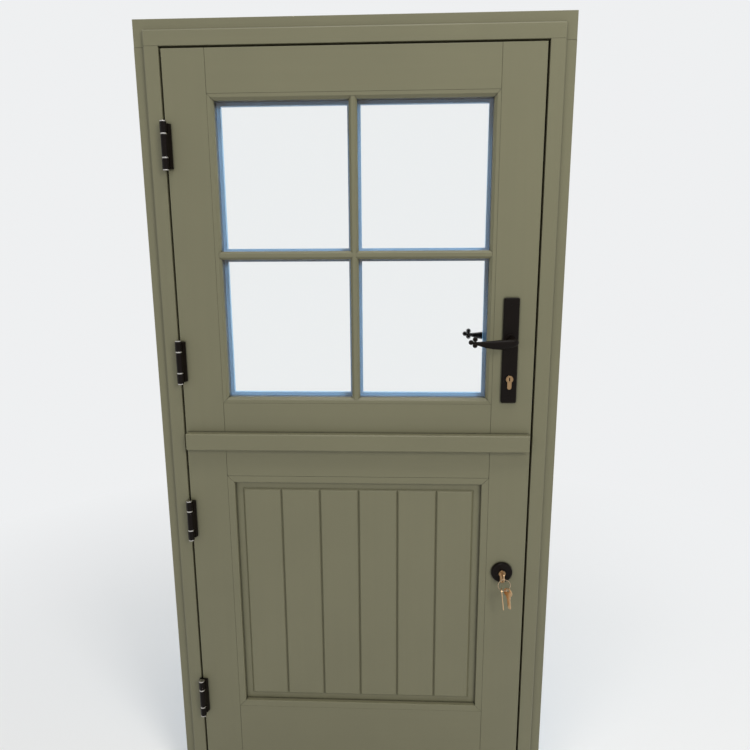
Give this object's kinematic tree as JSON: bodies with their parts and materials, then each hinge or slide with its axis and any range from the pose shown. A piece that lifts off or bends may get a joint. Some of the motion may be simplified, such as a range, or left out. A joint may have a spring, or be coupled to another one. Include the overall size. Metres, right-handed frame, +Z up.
{
  "type": "dutch stable door with frame",
  "caption": "Stable door in a rebated timber frame: a glazed upper leaf over a panelled lower leaf, each on its own hinges, with lever handle and locks",
  "frame": {"origin": "centre of the sill's underside, midway between the frame's two faces", "axes": "+X to the lock side as seen from the room, +Y from the room to the outside, +Z up"},
  "size_m": [0.958, 0.1902, 1.941],
  "materials": {
    "timber_paint": "satin paint",
    "outer_paint": "satin paint",
    "sill_timber": "satin paint",
    "seal_rubber": "matt",
    "glass": "clear",
    "spacer_metal": "matt",
    "hinge_metal": "satin black",
    "pin_steel": "bright",
    "washer_steel": "bright",
    "furniture_black": "satin black",
    "screw_black": "satin black",
    "spindle_steel": "bright",
    "lock_steel": "brushed",
    "bolt_steel": "brushed",
    "cylinder_brass": "satin brass",
    "key_brass": "worn brass",
    "ring_steel": "bright"
  },
  "bodies": {
    "frame": {"hinge_jamb": "timber_paint", "lock_jamb": "timber_paint", "frame_head": "timber_paint", "frame_sill": "sill_timber", "frame_seal": "seal_rubber", "upper_keeps": "lock_steel", "lower_keep": "lock_steel", "hinge_pins": "pin_steel", "upper_leaf_top_hinge_frame_plate": "hinge_metal", "upper_leaf_lower_hinge_frame_plate": "hinge_metal", "lower_leaf_top_hinge_frame_plate": "hinge_metal", "lower_leaf_lower_hinge_frame_plate": "hinge_metal", "hinge_washers": "washer_steel"},
    "lower_leaf": {"lower_hinge_stile": "timber_paint", "lower_lock_stile": "timber_paint", "lower_top_rail": "timber_paint", "lower_bottom_rail": "timber_paint", "raised_panel": "timber_paint", "panel_beads": "timber_paint", "lower_lock_case": "lock_steel", "lower_cylinder_body": "cylinder_brass", "lower_cylinder_outer_plug": "cylinder_brass", "inner_escutcheon": "furniture_black", "outer_escutcheon": "furniture_black", "lower_leaf_top_hinge_leaf_plate": "hinge_metal", "lower_leaf_lower_hinge_leaf_plate": "hinge_metal"},
    "upper_leaf": {"upper_hinge_stile": "timber_paint", "upper_lock_stile": "timber_paint", "upper_top_rail": "timber_paint", "upper_bottom_rail": "timber_paint", "inner_glazing_beads": "timber_paint", "inner_pane": "glass", "outer_pane": "glass", "glass_spacer": "spacer_metal", "inner_upright_bar": "timber_paint", "inner_level_bars": "timber_paint", "outer_glazing_bars": "outer_paint", "meeting_strip": "timber_paint", "upper_lock_case": "lock_steel", "upper_lock_plate": "lock_steel", "upper_cylinder_body": "cylinder_brass", "upper_cylinder_outer_plug": "cylinder_brass", "inner_handle_plate": "furniture_black", "outer_handle_plate": "furniture_black", "handle_screws": "screw_black", "upper_leaf_top_hinge_leaf_plate": "hinge_metal", "upper_leaf_lower_hinge_leaf_plate": "hinge_metal"},
    "levers": {"inner_lever": "furniture_black", "outer_lever": "furniture_black", "lever_spindle": "spindle_steel"},
    "latch": {"latch_bolt": "bolt_steel"},
    "upper_plug": {"upper_cylinder_plug": "cylinder_brass"},
    "upper_bolt": {"upper_deadbolt": "bolt_steel"},
    "hook": {"hook_bolt": "bolt_steel"},
    "lower_plug": {"lower_cylinder_plug": "cylinder_brass", "door_key": "key_brass"},
    "lower_bolt": {"lower_deadbolt": "bolt_steel"},
    "key_bunch": {"key_ring": "ring_steel", "spare_keys": "key_brass"}
  },
  "joints": [
    {"name": "lower_leaf_hinge", "type": "hinge", "parent": "frame", "child": "lower_leaf", "pos_m": [-0.4155, -0.0635, 0.051], "axis": [0, 0, -1], "range_deg": [0, 80]},
    {"name": "upper_leaf_hinge", "type": "hinge", "parent": "lower_leaf", "child": "upper_leaf", "pos_m": [-0.4155, -0.0635, 0.986], "axis": [0, 0, -1], "range_deg": [0, 90]},
    {"name": "lever_turn", "type": "hinge", "parent": "upper_leaf", "child": "levers", "pos_m": [0.36, -0.0205, 1.242], "axis": [0, -1, 0], "range_deg": [0, 35], "stiffness_Nm_per_rad": 1.5, "springref_deg": -20.05},
    {"name": "latch_slide", "type": "slide", "parent": "upper_leaf", "child": "latch", "axis": [1, 0, 0], "range_m": [0, 0.01]},
    {"name": "upper_bolt_slide", "type": "slide", "parent": "upper_leaf", "child": "upper_bolt", "axis": [1, 0, 0], "range_m": [0, 0.02]},
    {"name": "upper_plug_turn", "type": "hinge", "parent": "upper_leaf", "child": "upper_plug", "pos_m": [0.36, -0.0205, 1.15], "axis": [0, -1, 0], "range_deg": [0, 90]},
    {"name": "hook_turn", "type": "hinge", "parent": "upper_leaf", "child": "hook", "pos_m": [0.3995, -0.0205, 1.6895], "axis": [0, -1, 0], "range_deg": [0, 90]},
    {"name": "lower_bolt_slide", "type": "slide", "parent": "lower_leaf", "child": "lower_bolt", "axis": [1, 0, 0], "range_m": [0, 0.02]},
    {"name": "lower_plug_turn", "type": "hinge", "parent": "lower_leaf", "child": "lower_plug", "pos_m": [0.36, -0.0205, 0.6555], "axis": [0, -1, 0], "range_deg": [0, 90]},
    {"name": "bunch_swing", "type": "hinge", "parent": "lower_plug", "child": "key_bunch", "pos_m": [0.36, -0.0836, 0.6531], "axis": [0, 1, 0], "range_deg": [-24, 36]}
  ],
  "couplings": [
    {"joint": "upper_plug_turn", "follows": "upper_bolt_slide", "rad_per_m": 78.54},
    {"joint": "hook_turn", "follows": "upper_bolt_slide", "rad_per_m": 78.54},
    {"joint": "lower_plug_turn", "follows": "lower_bolt_slide", "rad_per_m": 78.54}
  ]
}
